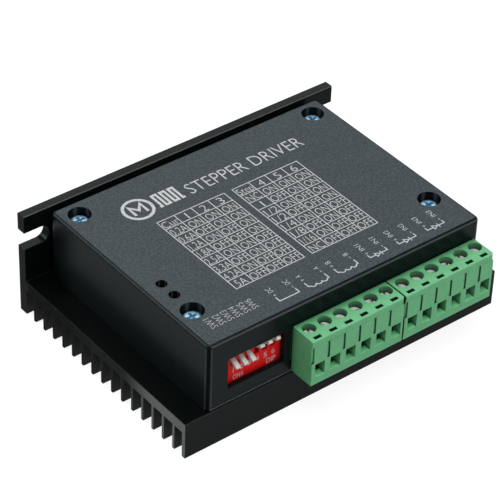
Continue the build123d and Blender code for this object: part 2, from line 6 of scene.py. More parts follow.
import json
import math

import bpy
from mathutils import Matrix, Vector


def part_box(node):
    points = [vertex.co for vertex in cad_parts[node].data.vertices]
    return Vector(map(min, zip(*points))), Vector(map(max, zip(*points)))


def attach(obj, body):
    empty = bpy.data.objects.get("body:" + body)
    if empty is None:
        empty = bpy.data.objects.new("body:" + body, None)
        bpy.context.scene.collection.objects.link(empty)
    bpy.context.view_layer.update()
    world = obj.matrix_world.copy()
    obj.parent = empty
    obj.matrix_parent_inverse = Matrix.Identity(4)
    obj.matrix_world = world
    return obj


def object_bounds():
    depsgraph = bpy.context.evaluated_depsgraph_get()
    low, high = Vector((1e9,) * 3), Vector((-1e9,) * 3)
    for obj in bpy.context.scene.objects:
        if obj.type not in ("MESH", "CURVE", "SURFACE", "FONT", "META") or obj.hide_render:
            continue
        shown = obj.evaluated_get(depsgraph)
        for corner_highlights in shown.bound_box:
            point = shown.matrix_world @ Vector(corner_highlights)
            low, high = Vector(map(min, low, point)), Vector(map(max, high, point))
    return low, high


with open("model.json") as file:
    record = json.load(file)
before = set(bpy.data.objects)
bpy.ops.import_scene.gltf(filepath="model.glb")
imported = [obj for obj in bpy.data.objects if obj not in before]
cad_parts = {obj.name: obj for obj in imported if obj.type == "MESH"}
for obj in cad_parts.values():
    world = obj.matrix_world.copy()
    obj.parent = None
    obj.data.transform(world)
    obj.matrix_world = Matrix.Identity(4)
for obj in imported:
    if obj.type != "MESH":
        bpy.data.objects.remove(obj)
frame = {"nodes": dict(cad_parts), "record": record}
cad_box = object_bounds()
nodes = frame["nodes"]

MM = 0.001

# Printed markings are this thick, and are sunk a little into the surface they are printed on
INK_HEIGHT = 0.02
INK_SINK = 0.005
LINE_WIDTH = 0.26
SYMBOL_WIDTH = 0.32
CAP_HEIGHT = 2.7

# Settings tables, measured from the cover's left and front edges. A word's width goes by its length,
# and one that starts with a 1 or a 5 is narrower by NARROW_START
TABLE_LEFT = 19.7
TABLE_GAP = 2.64
TABLE_FRONT = 14.2
TABLE_COLUMNS = 4
TABLE_ROWS = 9
COLUMN_WIDTH = 5.53
ROW_HEIGHT = 3.76
CELL_MARGIN = 0.3
CELL_DIGIT_WIDTH = 1.75
CELL_WORD_WIDTHS = {2: 4.0, 3: 4.9, 4: 4.8}
NARROW_START = 0.8
CURRENTS = ("0.2A", "0.6A", "1.2A", "1.8A", "2.5A", "3.3A", "4.2A", "5A")
STEPS = ("NC", "1", "1/2", "1/2", "1/4", "1/8", "1/16", "NC")

# Title row, measured from the cover's left and front edges: a ring, a letter in it, pulses and words
TITLE_MIDDLE = 55.6
RING_CENTRE = 19.2
RING_OUTER = 4.6
RING_INNER = 3.7
LETTER_HALF_WIDTH = 1.9
LETTER_HALF_HEIGHT = 2.0
LETTER_WIDTH = 0.8
PULSE_START = 5.4
PULSE_COUNT = 3
PULSE_PITCH = 2.7
PULSE_RISE = 0.7
PULSE_FALL = 2.05
PULSE_END = 13.6
PULSE_HALF_HEIGHT = 2.6
PULSE_WIDTH = 0.75
TITLE_CENTRE = 54.1
TITLE_DROP = 0.7
TITLE_CAP = 4.5
TITLE_WIDTH = 38.6

# Terminal symbols: kind, middle from the cover's left edge, half width, label
SYMBOLS = (("supply", 28.7, 3.15, "DC"), ("coil", 38.3, 3.3, "A"), ("coil", 48.0, 3.3, "B"),
           ("input", 58.25, 2.9, "1"), ("input", 68.05, 2.9, "2"), ("input", 77.9, 2.9, "3"))
SYMBOL_FRONT = 4.0
SYMBOL_RISE = 1.75
LABEL_RISE = 4.9
LABEL_CAP = 1.5
LABEL_LETTER_WIDTH = 0.95

# Labels of the switch levers on the cover, and figures on the switch block's front
LEVER_COUNT = 6
LEVER_LABEL_LEFT = 6.2
LEVER_LABEL_PITCH = 2.58
LEVER_LABEL_FRONT = 7.3
LEVER_LABEL_CAP = 2.0
LEVER_LABEL_WIDTH = 4.1
FIGURE_CAP = 1.6
FIGURE_RISE = 4.9
WORD_RISE = 2.5
WORD_ON_LEFT = 3.9
WORD_DIP_LEFT = 14.9
ARROW_LEFT = 5.7

# Camera: where it looks from, round the point it aims at
CAMERA_AZIMUTH = -39.45
CAMERA_ELEVATION = 38.0
CAMERA_ROLL = 2.105
CAMERA_DISTANCE = 642.8
CAMERA_AIM = (0.52, 8.50, 16.0)
CAMERA_LENS = 172.5
SENSOR_WIDTH = 36.0

# How strongly the black parts mirror what is round them, on the shader's 0 to 1 scale
SIDE_GLOSS = 0.14

# Heat sink, in the frame's millimetres: where the fins end and where the flange begins
FIN_TOP = 8.0
FLANGE_FOOT = 20.0
FLANGE_FRONT = 37.0

# Along the heat sink's sawn ends: a painted highlight, full up to the first and gone by the second;
# painted shade from the second, darkest from the third
END_BRIGHT = -21.0
END_DULL = -5.0
END_DARKEST = 22.0

# The painted highlight line along the foot of the cover's front wall, above the wall's lower edge
FOOT_HIGHLIGHT_LOW = 0.30
FOOT_HIGHLIGHT_HIGH = 0.55

# Holes and grooves narrower than this get painted shade inside
CREVICE_REACH = 3.0

# How quickly each finer layer of a cloudy noise fades
NOISE_ROUGHNESS = 0.55

# Height of the wire entries' floors above the plugs' undersides, and how far it may vary; faces there get
# painted light
ENTRY_FLOOR = 2.5
ENTRY_FLOOR_SPAN = 0.3

# How bright the floor looks to the module, beside it and before it, and the width of the change
FLOOR_BOUNCE = (0.40, 0.50)
FLOOR_CHANGE = 10.0
FLOOR_HALF_SIZE = 6.0
FLOOR_WHITE = 0.88

# Softboxes: name, azimuth, elevation, size and power, all at one distance from the aim point
LIGHT_DISTANCE = 900.0
SOFTBOXES = (
    ("overhead", 0.0, 85.0, (800.0, 800.0), 5.9),
    ("back_right", 140.0, 42.0, (700.0, 500.0), 1.75),
    ("back_left", -135.0, 30.0, (500.0, 300.0), 2.4),
    ("front_right", 30.0, 6.0, (500.0, 100.0), 0.2),
    ("front", 5.0, 32.0, (500.0, 300.0), 1.8),
    ("left", -90.0, 35.0, (600.0, 300.0), 0.6),
    ("back", 180.0, 14.0, (900.0, 260.0), 1.6),
    ("right", 80.0, 14.0, (500.0, 260.0), 1.0),
)
ROOM_STRENGTH = 0.01


def box_mm(name):
    """A CAD node's lowest and highest corners in millimetres."""
    low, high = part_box(name)
    return low / MM, high / MM


# ---------------------------------------------------------------- materials


class Shader:
    """A short way to write one material's node tree around a Principled surface."""

    def __init__(self, name):
        self.material = bpy.data.materials.new(name)
        self.material.use_nodes = True
        self.tree = self.material.node_tree
        self.tree.nodes.clear()
        self.output = self.tree.nodes.new("ShaderNodeOutputMaterial")
        coords = self.tree.nodes.new("ShaderNodeTexCoord").outputs["Object"]
        self.place = self.maths("SCALE", coords, scale=1 / MM)
        geometry = self.tree.nodes.new("ShaderNodeNewGeometry")
        self.normal = geometry.outputs["True Normal"]

    def node(self, kind, inputs=None, **settings):
        """A shader node of one kind, with its settings and inputs given."""
        made = self.tree.nodes.new("ShaderNode" + kind)
        for key, value in settings.items():
            setattr(made, key, value)
        for key, value in (inputs or {}).items():
            self.feed(made.inputs[key], value)
        return made

    def feed(self, socket, value):
        """Links a socket's value into another socket, or sets a plain value there."""
        if isinstance(value, bpy.types.NodeSocket):
            self.tree.links.new(value, socket)
        elif isinstance(value, tuple) and len(value) == 3 and socket.type == "RGBA":
            socket.default_value = (*value, 1.0)
        else:
            socket.default_value = value

    def maths(self, operation, first, second=None, scale=None):
        """A vector operation."""
        made = self.node("VectorMath", {0: first}, operation=operation)
        if second is not None:
            self.feed(made.inputs[1], second)
        if scale is not None:
            self.feed(made.inputs["Scale"], scale)
        return made.outputs["Value" if operation == "DOT_PRODUCT" else "Vector"]

    def number(self, operation, first, second):
        """An operation on two plain numbers."""
        return self.node("Math", {0: first, 1: second}, operation=operation).outputs["Value"]

    def noise(self, scale, detail=3.0, stretch=(1, 1, 1)):
        """Cloudy noise with about `scale` features a millimetre."""
        where = self.maths("MULTIPLY", self.place, stretch)
        made = self.node("TexNoise", {"Vector": where, "Scale": scale, "Detail": detail,
                                      "Roughness": NOISE_ROUGHNESS})
        return made.outputs["Fac"]

    def cells(self, scale):
        """Distance from the nearest of about `scale` scattered points a millimetre."""
        return self.node("TexVoronoi", {"Vector": self.place, "Scale": scale}).outputs["Distance"]

    def spread(self, value, low, high, to_low=0.0, to_high=1.0, smooth=False):
        """Maps low..high onto to_low..to_high, held at both ends."""
        kind = "SMOOTHSTEP" if smooth else "LINEAR"
        made = self.node("MapRange", {"Value": value, "From Min": low, "From Max": high,
                                      "To Min": to_low, "To Max": to_high},
                         clamp=True, interpolation_type=kind)
        return made.outputs["Result"]

    def mix(self, share, first, second):
        """A colour between two, by share. The sockets' numbers are those of the colour version."""
        made = self.node("Mix", data_type="RGBA")
        self.feed(made.inputs[0], share)
        self.feed(made.inputs[6], first)
        self.feed(made.inputs[7], second)
        return made.outputs[2]

    def blend(self, share, first, second):
        """A number between two, by share."""
        made = self.node("Mix", data_type="FLOAT")
        self.feed(made.inputs[0], share)
        self.feed(made.inputs[2], first)
        self.feed(made.inputs[3], second)
        return made.outputs[0]

    def facing(self, direction, low=0.7, high=0.9):
        """1 where the surface looks along direction, 0 elsewhere."""
        return self.spread(self.maths("DOT_PRODUCT", self.normal, direction), low, high)

    def coordinate(self, axis):
        """The shaded point's X, Y or Z in millimetres."""
        return self.node("SeparateXYZ", {0: self.place}).outputs[axis]

    def soft_edges(self, radius):
        """A normal that rounds each edge by radius millimetres."""
        return self.node("Bevel", {"Radius": radius * MM}, samples=6).outputs["Normal"]

    def edge_mask(self, soft_normal):
        """1 on edges, where the rounded normal leaves the flat one."""
        return self.spread(self.maths("DOT_PRODUCT", soft_normal, self.normal), 0.9, 0.995, 1.0, 0.0)

    def crevice(self, reach, darkest):
        """A share for painted shade: 1 in the open, down to `darkest` deep in holes and grooves narrower
        than reach millimetres.
        """
        made = self.node("AmbientOcclusion", {"Distance": reach * MM}, samples=6)
        return self.spread(made.outputs["AO"], 0.3, 0.9, darkest, 1.0)

    def bump(self, height, depth, normal=None):
        """A normal tilted by a height, which is worth `depth` millimetres at 1."""
        made = self.node("Bump", {"Height": height, "Distance": depth * MM, "Strength": 1.0})
        if normal is not None:
            self.feed(made.inputs["Normal"], normal)
        return made.outputs["Normal"]

    def surface(self, **inputs):
        """Ends the tree in a Principled surface and hands back the material."""
        names = {key.replace("_", " "): value for key, value in inputs.items()}
        made = self.node("BsdfPrincipled", names)
        self.tree.links.new(made.outputs["BSDF"], self.output.inputs["Surface"])
        return self.material


def smooth_wall(s, shaded_bend):
    """Colour of the cover's sides: near black, with painted highlight lines on the front rim, the foot
    and the two edges of the front-left corner, a painted reflection on the left rim, and painted shade in
    the corner's bend between its edges.
    """
    bottom = box_mm("cover")[0].z
    side = s.mix(s.noise(0.5, 4.0), (0.0036, 0.0066, 0.0070), (0.0054, 0.0092, 0.0096))
    # Painted highlight: faces that tilt towards the front and up, along the front top rim, get a light
    # grey line.
    side = s.mix(s.facing((0, -0.87, 0.5), 0.95, 0.99), side, (0.066, 0.072, 0.074))
    # Painted highlights: a light grey line down each edge of the rounded front-left corner.
    corner_highlights = s.number("MAXIMUM", s.facing((-0.97, -0.24, 0), 0.98, 0.997),
                      s.facing((-0.24, -0.97, 0), 0.98, 0.997))
    side = s.mix(corner_highlights, side, (0.046, 0.051, 0.053))
    # Painted reflection: the rounded left top rim gets a dim grey band between the top and the side.
    side = s.mix(s.facing((-0.7, 0, 0.7), 0.85, 0.97), side, (0.020, 0.024, 0.026))
    # Painted highlight: a light line along the foot of the front wall.
    foot_highlight = s.spread(s.coordinate("Z"), bottom + FOOT_HIGHLIGHT_HIGH, bottom + FOOT_HIGHLIGHT_LOW)
    foot_highlight = s.number("MULTIPLY", s.facing((0, -1, 0)), foot_highlight)
    side = s.mix(foot_highlight, side, (0.13, 0.14, 0.14))
    # Painted shade in the bend of the front-left corner.
    return s.mix(shaded_bend, side, (0.0040, 0.0048, 0.0048))


def black_moulding():
    """The cover: a spark-textured top, and smooth sides that mirror a little of the floor."""
    s = Shader("black_moulding")
    cover_top = box_mm("cover")[1].z
    above = s.spread(s.coordinate("Z"), cover_top - 0.2, cover_top - 0.1)
    top = s.number("MULTIPLY", s.facing((0, 0, 1), 0.97, 0.995), above)
    grain = s.noise(1.7, 4.0)
    cloud = s.noise(0.09, 3.0)
    dark = s.mix(s.spread(cloud, 0.3, 0.7), (0.019, 0.0235, 0.027), (0.0245, 0.031, 0.0355))
    light = s.mix(s.spread(grain, 0.40, 0.62), dark, (0.060, 0.070, 0.077))
    # The bend of the front-left corner, which gets painted shade and less gloss.
    shaded_bend = s.facing((-0.7, -0.7, 0), 0.91, 0.97)
    side_gloss = s.blend(shaded_bend, SIDE_GLOSS, SIDE_GLOSS * 0.3)
    rough_top = s.spread(grain, 0.3, 0.7, 0.5, 0.66)
    rough_side = s.spread(s.noise(0.8, 4.0), 0.3, 0.7, 0.27, 0.34)
    height = s.blend(top, s.number("MULTIPLY", s.noise(0.35, 2.0), 0.2), grain)
    return s.surface(Base_Color=s.mix(top, smooth_wall(s, shaded_bend), light),
                     Roughness=s.blend(top, rough_side, rough_top),
                     Normal=s.bump(height, 0.035, s.soft_edges(0.12)),
                     Specular_IOR_Level=s.blend(top, side_gloss, 0.4),
                     Specular_Tint=(0.76, 0.98, 1.0))


def drawn_skin(s, drawn, ribs, lit_fin_fronts):
    """Colour of the extruded faces: lines along the length, painted shade on the plate's top and a
    painted lit grey on the ribbed fin fronts.
    """
    body = s.mix(s.spread(drawn, 0.3, 0.7), (0.0022, 0.0038, 0.0036), (0.0034, 0.0054, 0.0052))
    # Painted shade: upward faces below the flange, on the plate, are darker.
    below = s.spread(s.coordinate("Z"), FLANGE_FOOT, FLANGE_FOOT - 1.0)
    plate_shade = s.number("MULTIPLY", s.facing((0, 0, 1)), below)
    body = s.mix(plate_shade, body, (0.0014, 0.0024, 0.0021))
    # Painted light: the ribbed fin fronts get a grey much lighter than the body.
    return s.mix(lit_fin_fronts, body, s.mix(ribs, (0.010, 0.012, 0.009), (0.060, 0.066, 0.056)))


def sawn_skin(s, sawn, shaded):
    """Colour of the sawn ends: a painted highlight at the front, mottled behind, painted shade towards
    the flange.
    """
    cloud = s.noise(0.12, 3.0)
    cut = s.mix(s.spread(sawn, 0.25, 0.75), (0.005, 0.0065, 0.006), (0.013, 0.015, 0.0145))
    cut = s.mix(s.spread(cloud, 0.35, 0.7), cut, (0.005, 0.006, 0.0055))
    # Painted shade, deepening towards the flange.
    cut = s.mix(shaded, cut, (0.0020, 0.0028, 0.0028))
    # Painted highlight on the front of the sawn ends.
    painted_highlight = s.mix(s.spread(sawn, 0.25, 0.75), (0.12, 0.13, 0.13), (0.20, 0.215, 0.215))
    highlight_share = s.spread(s.coordinate("Y"), END_BRIGHT, END_DULL, 1.0, 0.0, smooth=True)
    return s.mix(highlight_share, cut, painted_highlight)


def black_anodised():
    """The heat sink: drawn lines along the extrusion, ribbed fins with a painted lit grey on their
    fronts, paler sawn ends with a painted highlight and painted shade, and lighter edges.
    """
    s = Shader("black_anodised")
    front = box_mm("heat_sink")[0].y
    ends = s.number("MAXIMUM", s.facing((1, 0, 0)), s.facing((-1, 0, 0)))
    drawn = s.noise(1.0, 4.0, stretch=(0.02, 4.0, 4.0))
    sawn = s.noise(1.0, 4.0, stretch=(2.0, 5.0, 0.15))
    ribs = s.node("TexWave", {"Vector": s.place, "Scale": 0.55}, bands_direction="Z").outputs["Fac"]
    # The fin fronts, which get the painted lit grey over their ribs, and the ribs' bump.
    lit_fin_fronts = s.number("MULTIPLY", s.facing((0, -1, 0)), s.spread(s.coordinate("Z"), FIN_TOP, FIN_TOP - 0.4))
    lit_fin_fronts = s.number("MULTIPLY", lit_fin_fronts, s.spread(s.coordinate("Y"), front + 0.5, front + 1.0))
    # Painted shade on the sawn ends, growing towards the flange and stopping at its front; it also lowers
    # their gloss.
    shaded = s.number("MULTIPLY", s.spread(s.coordinate("Y"), END_DULL, END_DARKEST),
                      s.spread(s.coordinate("Y"), FLANGE_FRONT, FLANGE_FRONT - 0.5))
    soft = s.soft_edges(0.2)
    # Lighter edges: partly real wear of the anodising, partly painted highlight.
    lighter_edges = s.number("MULTIPLY", s.edge_mask(soft), s.spread(s.noise(0.6, 4.0), 0.3, 0.7, 0.1, 0.6))
    colour = s.mix(ends, drawn_skin(s, drawn, ribs, lit_fin_fronts), sawn_skin(s, sawn, shaded))
    colour = s.mix(lighter_edges, colour, (0.09, 0.095, 0.095))
    # Painted highlight: faces that tilt towards the front and up, on the rounded front edges, get a
    # lighter grey, lightest on the flange.
    front_edge_highlight = s.facing((0, -0.7, 0.7), 0.8, 0.95)
    high_up = s.spread(s.coordinate("Z"), FLANGE_FOOT, FLANGE_FOOT + 1.0)
    colour = s.mix(front_edge_highlight, colour, s.mix(high_up, (0.026, 0.028, 0.026), (0.10, 0.105, 0.105)))
    rough = s.blend(ends, s.spread(drawn, 0.3, 0.7, 0.26, 0.33), s.spread(sawn, 0.3, 0.7, 0.38, 0.55))
    height = s.blend(ends, s.blend(lit_fin_fronts, s.number("MULTIPLY", drawn, 0.35), ribs), sawn)
    gloss = s.blend(ends, SIDE_GLOSS, s.blend(shaded, SIDE_GLOSS * 0.5, SIDE_GLOSS * 0.2))
    return s.surface(Base_Color=colour, Roughness=rough, Normal=s.bump(height, 0.03, soft),
                     Specular_IOR_Level=gloss, Specular_Tint=(0.80, 0.98, 1.0))


def moulding(name, base, fleck_and_highlight_colour, rough, gloss=0.5, deepest_shade=0.5, ledge=None):
    """A satin moulded plastic with a faint grain, soft edges, a painted highlight on them and painted
    shade in crevices.

    ledge is the height of upward faces, inside openings, that get painted light: their colour is 1.7
    times the base.
    """
    s = Shader(name)
    soft = s.soft_edges(0.12)
    cloud = s.spread(s.noise(0.35, 4.0), 0.3, 0.7)
    grain = s.noise(3.0, 3.0)
    deep = tuple(channel * 0.88 for channel in base)
    colour = s.mix(cloud, deep, base)
    colour = s.mix(s.spread(grain, 0.62, 0.8, 0.0, 0.35), colour, fleck_and_highlight_colour)
    # Painted highlight on the edges.
    lighter_edges = s.number("MULTIPLY", s.edge_mask(soft), 0.6)
    colour = s.mix(lighter_edges, colour, fleck_and_highlight_colour)
    # Painted shade: the colour darkens towards black in holes and grooves.
    painted_shade_share = s.crevice(CREVICE_REACH, deepest_shade)
    colour = s.mix(painted_shade_share, (0.0, 0.0, 0.0), colour)
    if ledge:
        height = s.coordinate("Z")
        above = s.number("GREATER_THAN", height, ledge - ENTRY_FLOOR_SPAN)
        below = s.number("LESS_THAN", height, ledge + ENTRY_FLOOR_SPAN)
        # Painted light on the wire entries' floors.
        painted_lit_floor = s.number("MULTIPLY", s.facing((0, 0, 1)), s.number("MULTIPLY", above, below))
        colour = s.mix(painted_lit_floor, colour, tuple(min(1.0, channel * 1.7) for channel in base))
    roughness = s.spread(grain, 0.3, 0.7, rough - 0.05, rough + 0.07)
    return s.surface(Base_Color=colour, Roughness=roughness, Normal=s.bump(grain, 0.01, soft),
                     Specular_IOR_Level=gloss)


def plated(name, light, dark, rough, metal=1.0):
    """A plated metal with crystal grain and fine scratches."""
    s = Shader(name)
    soft = s.soft_edges(0.08)
    crystal = s.cells(3.5)
    scratch = s.noise(1.0, 5.0, stretch=(14.0, 1.2, 3.0))
    colour = s.mix(s.spread(crystal, 0.1, 0.7), light, dark)
    roughness = s.spread(scratch, 0.3, 0.7, rough - 0.07, rough + 0.12)
    return s.surface(Base_Color=colour, Metallic=metal, Roughness=roughness,
                     Normal=s.bump(scratch, 0.008, soft))


def board_green():
    """Solder mask with a hint of the copper tracks under it."""
    s = Shader("board_green")
    tracks = s.node("TexBrick", {"Vector": s.place, "Scale": 0.35, "Mortar Size": 0.12}).outputs["Fac"]
    colour = s.mix(tracks, (0.010, 0.110, 0.045), (0.020, 0.190, 0.080))
    return s.surface(Base_Color=colour, Roughness=s.spread(s.noise(0.8), 0.3, 0.7, 0.25, 0.4),
                     Normal=s.bump(tracks, 0.03))


def chip_black():
    """Black epoxy with a fine matt grain."""
    s = Shader("chip_black")
    grain = s.noise(4.0, 3.0)
    colour = s.mix(s.spread(grain, 0.35, 0.7), (0.018, 0.018, 0.019), (0.040, 0.040, 0.042))
    return s.surface(Base_Color=colour, Roughness=s.spread(grain, 0.3, 0.7, 0.45, 0.65),
                     Normal=s.bump(grain, 0.02, s.soft_edges(0.15)))


def can_sleeve():
    """A printed sleeve on the can's side, and bare aluminium on its top."""
    s = Shader("can_sleeve")
    top = s.facing((0, 0, 1))
    sleeve = s.mix(s.noise(0.6), (0.010, 0.014, 0.040), (0.018, 0.022, 0.060))
    colour = s.mix(top, sleeve, (0.70, 0.70, 0.70))
    rough = s.spread(s.noise(1.5), 0.3, 0.7, 0.25, 0.4)
    return s.surface(Base_Color=colour, Metallic=top, Roughness=rough, Normal=s.bump(s.noise(1.2), 0.02))


def lamp_red():
    """Clear red resin, with a painted glint given as a weak emission."""
    s = Shader("lamp_red")
    haze = s.noise(0.9, 3.0)
    colour = s.mix(haze, (0.52, 0.03, 0.02), (0.72, 0.08, 0.06))
    # Painted glint: a weak emission, patchy with the haze.
    painted_glint = s.spread(haze, 0.35, 0.65, 0.05, 0.4)
    return s.surface(Base_Color=colour, Roughness=s.spread(haze, 0.3, 0.7, 0.08, 0.16),
                     Transmission_Weight=0.35, IOR=1.5, Normal=s.bump(haze, 0.02),
                     Emission_Color=(0.35, 0.13, 0.11), Emission_Strength=painted_glint)


def ink():
    """White screen print with an uneven coat."""
    s = Shader("screen_print")
    coat = s.noise(1.8, 4.0)
    colour = s.mix(s.spread(coat, 0.3, 0.7), (0.42, 0.44, 0.45), (0.62, 0.64, 0.65))
    return s.surface(Base_Color=colour, Roughness=s.spread(coat, 0.3, 0.7, 0.5, 0.7),
                     Normal=s.bump(coat, 0.006))


def make_finishes():
    """One material for each of the record's slots."""
    ledge = box_mm("plug_housing_left")[0].z + ENTRY_FLOOR
    return {
        "black_anodised": black_anodised(),
        "black_moulding": black_moulding(),
        "blue_zinc": plated("blue_zinc", (0.62, 0.84, 0.95), (0.32, 0.62, 0.84), 0.42),
        "terminal_steel": plated("terminal_steel", (1.0, 1.0, 0.98), (0.74, 0.74, 0.72), 0.30,
                                 metal=0.3),
        "tinned_metal": plated("tinned_metal", (0.66, 0.66, 0.64), (0.48, 0.48, 0.46), 0.34),
        "green_moulding": moulding("green_moulding", (0.158, 0.545, 0.252), (0.30, 0.66, 0.40), 0.36,
                                   gloss=0.32, deepest_shade=0.07, ledge=ledge),
        "red_moulding": moulding("red_moulding", (0.92, 0.010, 0.012), (0.92, 0.04, 0.03), 0.4,
                                 gloss=0.12),
        "white_moulding": moulding("white_moulding", (0.82, 0.82, 0.78), (0.88, 0.88, 0.84), 0.36,
                                   deepest_shade=0.8),
        "white_nylon": moulding("white_nylon", (0.72, 0.72, 0.68), (0.82, 0.82, 0.78), 0.45),
        "board_green": board_green(),
        "chip_black": chip_black(),
        "ceramic_tan": moulding("ceramic_tan", (0.46, 0.32, 0.18), (0.60, 0.46, 0.30), 0.5),
        "can_sleeve": can_sleeve(),
        "grey_pad": moulding("grey_pad", (0.36, 0.36, 0.38), (0.45, 0.45, 0.47), 0.75),
        "lamp_red": lamp_red(),
    }


def paint_nodes():
    """Gives each CAD node the material of its slot in the record."""
    finishes = make_finishes()
    for part in frame["record"]["subparts"]:
        mesh = nodes[part["node"]].data
        mesh.materials.clear()
        mesh.materials.append(finishes[part["material_slot"]])


# ---------------------------------------------------------------- printed markings


class Print:
    """Flat printed shapes in one plane, joined into one thin piece."""

    def __init__(self, name, origin, right=(1, 0, 0), up=(0, 1, 0)):
        right, up = Vector(right), Vector(up)
        axes = Matrix((right, up, right.cross(up))).transposed().to_4x4()
        self.name = name
        self.plane = Matrix.Translation(Vector(origin)) @ axes
        self.jobs = []

    def outlines(self, loops):
        """Filled closed loops of (x, y) points. A loop inside another is a hole."""
        curve = bpy.data.curves.new("shape", "CURVE")
        curve.dimensions = "2D"
        curve.fill_mode = "BOTH"
        for loop in loops:
            spline = curve.splines.new("POLY")
            spline.points.add(len(loop) - 1)
            for point, (x, y) in zip(spline.points, loop):
                point.co = (x, y, 0, 1)
            spline.use_cyclic_u = True
        curve.extrude = INK_HEIGHT / 2
        self.jobs.append((curve, lambda mesh: Matrix.Identity(4)))

    def text(self, words, centre, cap, width=None, turn=0.0, thin=0.012):
        """Words centred on a point, with capitals `cap` tall, drawn out or in to `width`."""
        font = bpy.data.curves.new("words", "FONT")
        font.body = words
        font.size = 1.0
        font.resolution_u = 3
        font.offset = -thin
        font.extrude = INK_HEIGHT / 2

        def fit(mesh):
            xs = [v.co.x for v in mesh.vertices]
            tall = cap / FONT_CAP
            wide = width / (max(xs) - min(xs)) if width else tall
            middle = Vector(((min(xs) + max(xs)) / 2, FONT_CAP / 2, 0))
            size = Matrix.Diagonal((wide, tall, 1, 1))
            spin = Matrix.Rotation(math.radians(turn), 4, "Z")
            return Matrix.Translation((*centre, 0)) @ spin @ size @ Matrix.Translation(-middle)

        self.jobs.append((font, fit))

    def line(self, points, width=LINE_WIDTH):
        """A stroke of even width along open points, with mitred corners."""
        path = [Vector(p) for p in points]
        sides = []
        for i, here in enumerate(path):
            before = (here - path[i - 1]).normalized() if i else None
            after = (path[i + 1] - here).normalized() if i + 1 < len(path) else None
            before, after = before or after, after or before
            normal = Vector((-(before.y + after.y), before.x + after.x)).normalized()
            reach = width / 2 / max(0.5, normal.dot(Vector((-before.y, before.x))))
            sides.append((here + normal * reach, here - normal * reach))
        loop = [a for a, b in sides] + [b for a, b in reversed(sides)]
        self.outlines([[tuple(p) for p in loop]])

    def finish(self, body, finish):
        """Turns every shape into mesh, joins them and lets the piece ride."""
        made = []
        for data, fit in self.jobs:
            shape = bpy.data.objects.new("shape", data)
            bpy.context.scene.collection.objects.link(shape)
            made.append((shape, fit))
        bpy.context.view_layer.update()
        graph = bpy.context.evaluated_depsgraph_get()
        verts, faces = [], []
        for shape, fit in made:
            mesh = bpy.data.meshes.new_from_object(shape.evaluated_get(graph))
            place = Matrix.Scale(MM, 4) @ self.plane @ fit(mesh)
            first = len(verts)
            verts += [place @ v.co for v in mesh.vertices]
            faces += [[first + i for i in face.vertices] for face in mesh.polygons]
            bpy.data.meshes.remove(mesh)
            bpy.data.objects.remove(shape)
        mesh = bpy.data.meshes.new(self.name)
        mesh.from_pydata(verts, [], faces)
        mesh.materials.append(finish)
        piece = bpy.data.objects.new(self.name, mesh)
        bpy.context.scene.collection.objects.link(piece)
        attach(piece, body)


def measure_capital():
    """The height of a capital in Blender's own font at size 1."""
    font = bpy.data.curves.new("measure", "FONT")
    font.body = "N"
    shape = bpy.data.objects.new("measure", font)
    bpy.context.scene.collection.objects.link(shape)
    bpy.context.view_layer.update()
    height = shape.dimensions.y
    bpy.data.objects.remove(shape)
    return height


FONT_CAP = measure_capital()


def cover_print(name):
    """An empty print on the cover's top, with the cover's left and front edges."""
    low, high = box_mm("cover")
    return Print(name, (0, 0, high.z + INK_HEIGHT / 2 - INK_SINK)), low.x, low.y


def rectangle(x0, x1, y0, y1):
    return [(x0, y0), (x1, y0), (x1, y1), (x0, y1)]


def arc(centre, radius, start, end, steps=24):
    """Points along an arc, with angles in degrees."""
    turns = [math.radians(start + (end - start) * i / steps) for i in range(steps + 1)]
    return [(centre[0] + radius * math.cos(a), centre[1] + radius * math.sin(a)) for a in turns]


def digit_width(digit, wide):
    """A 1 is a bare stroke, so it gets about a fifth of the other digits' width."""
    return wide * 0.22 if digit == "1" else wide


def settings_table(art, left, bottom, heading, labels, digits):
    """A ruled table of switch settings: one row for each of the eight combinations."""
    width = TABLE_COLUMNS * COLUMN_WIDTH
    height = TABLE_ROWS * ROW_HEIGHT
    half = LINE_WIDTH / 2
    loops = [rectangle(left - half, left + width + half, bottom - half, bottom + height + half)]
    for column in range(TABLE_COLUMNS):
        for row in range(TABLE_ROWS):
            x, y = left + column * COLUMN_WIDTH, bottom + row * ROW_HEIGHT
            loops.append(rectangle(x + half, x + COLUMN_WIDTH - half, y + half, y + ROW_HEIGHT - half))
    art.outlines(loops)
    for row in range(TABLE_ROWS):
        y = bottom + (TABLE_ROWS - 1 - row) * ROW_HEIGHT + CELL_MARGIN + CAP_HEIGHT / 2
        if row == 0:
            cells = [heading] + list(digits)
        else:
            states = ["OFF" if (row - 1) >> bit & 1 else "ON" for bit in range(3)]
            cells = [labels[row - 1]] + states
        for column, words in enumerate(cells):
            x = left + (column + 0.5) * COLUMN_WIDTH
            if len(words) == 1:
                wide = digit_width(words, CELL_DIGIT_WIDTH)
            else:
                wide = CELL_WORD_WIDTHS[len(words)] - (NARROW_START if words[0] in "15" else 0.0)
            art.text(words, (x, y), CAP_HEIGHT, wide)


def print_tables(finish):
    """The two settings tables, side by side."""
    art, edge, front = cover_print("print_tables")
    left = edge + TABLE_LEFT
    bottom = front + TABLE_FRONT
    settings_table(art, left, bottom, "Cur", CURRENTS, "123")
    left += TABLE_COLUMNS * COLUMN_WIDTH + TABLE_GAP
    settings_table(art, left, bottom, "Step", STEPS, "456")
    art.finish("module", finish)


